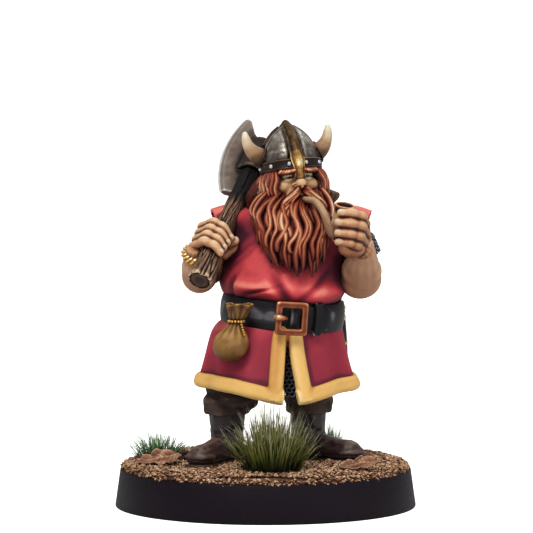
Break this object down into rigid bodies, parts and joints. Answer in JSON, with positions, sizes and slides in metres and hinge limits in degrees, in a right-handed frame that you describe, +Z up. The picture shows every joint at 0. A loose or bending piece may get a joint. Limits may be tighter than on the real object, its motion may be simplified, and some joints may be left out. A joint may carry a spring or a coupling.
{
  "type": "painted tabletop miniature figure",
  "caption": "Stout bearded dwarf in a horned helmet with an axe on the shoulder and a pipe in hand, standing on a round hollow base with sand and grass.",
  "frame": {"origin": "centre of the round base's underside", "axes": "+Z up; the figure looks along -Y, so +X is its left-hand side"},
  "size_m": [0.025, 0.025, 0.0322],
  "materials": {
    "black_plastic": "satin black edge",
    "sand": "rough, dry-brushed",
    "grass": "matt static-grass fibre",
    "dead_leaf": "matt",
    "bare_metal": "as cast",
    "boot_leather": "dark brown paint",
    "trouser_cloth": "brown paint",
    "mail": "metallic paint",
    "red_cloth": "layered red paint",
    "yellow_trim": "layered ochre paint",
    "belt_leather": "charcoal paint",
    "copper": "copper paint",
    "pouch_leather": "ochre-brown paint",
    "skin": "layered flesh paint",
    "hair": "red-brown paint, highlighted",
    "steel": "gunmetal paint",
    "brass": "brass paint",
    "bone": "ivory paint",
    "wood": "wood-brown paint",
    "pipe_wood": "olive-brown paint",
    "gold": "gold paint"
  },
  "bodies": {
    "root": {"slot_tab": "bare_metal", "base": "black_plastic", "boot_sole_right": "boot_leather", "boot_sole_left": "boot_leather", "boot_right": "boot_leather", "boot_left": "boot_leather", "trouser_leg_right": "trouser_cloth", "trouser_leg_left": "trouser_cloth", "ground_layer": "sand", "pipe_bowl": "pipe_wood", "pipe_stem": "pipe_wood", "axe_haft": "wood", "axe_head": "steel", "helmet_shell": "steel", "helmet_ridge": "brass", "helmet_band": "steel", "horn_right": "bone", "horn_left": "bone", "head": "skin", "belt_buckle": "copper", "buckle_prong": "copper", "belt_keeper": "belt_leather", "belt_tail": "belt_leather", "belt": "belt_leather", "hem_trim": "yellow_trim", "tunic_skirt": "red_cloth", "tunic_torso": "red_cloth", "mail_skirt": "mail", "hand_right": "skin", "hand_left": "skin", "bracelet_right": "gold", "mail_cuff_left": "mail", "forearm_right": "skin", "forearm_left": "skin", "upper_arm_right": "skin", "upper_arm_left": "skin", "sleeve_right": "red_cloth", "sleeve_left": "red_cloth", "pouch_cord": "gold", "pouch_ruffle": "pouch_leather", "pouch_bag": "pouch_leather", "dagger_guard": "brass", "dagger_grip": "pouch_leather", "dagger_pommel": "brass", "scabbard": "belt_leather", "sack_tie": "belt_leather", "sack_mouth": "pouch_leather", "sack_bag": "pouch_leather", "eyebrow_right": "hair", "eyebrow_left": "hair", "moustache_right": "hair", "moustache_left": "hair", "beard": "hair", "hair": "hair", "leaf_right": "dead_leaf", "leaf_left": "dead_leaf", "grass_tuft_front": "grass", "grass_tuft_side": "grass", "grass_tuft_rear": "grass"}
  },
  "joints": []
}
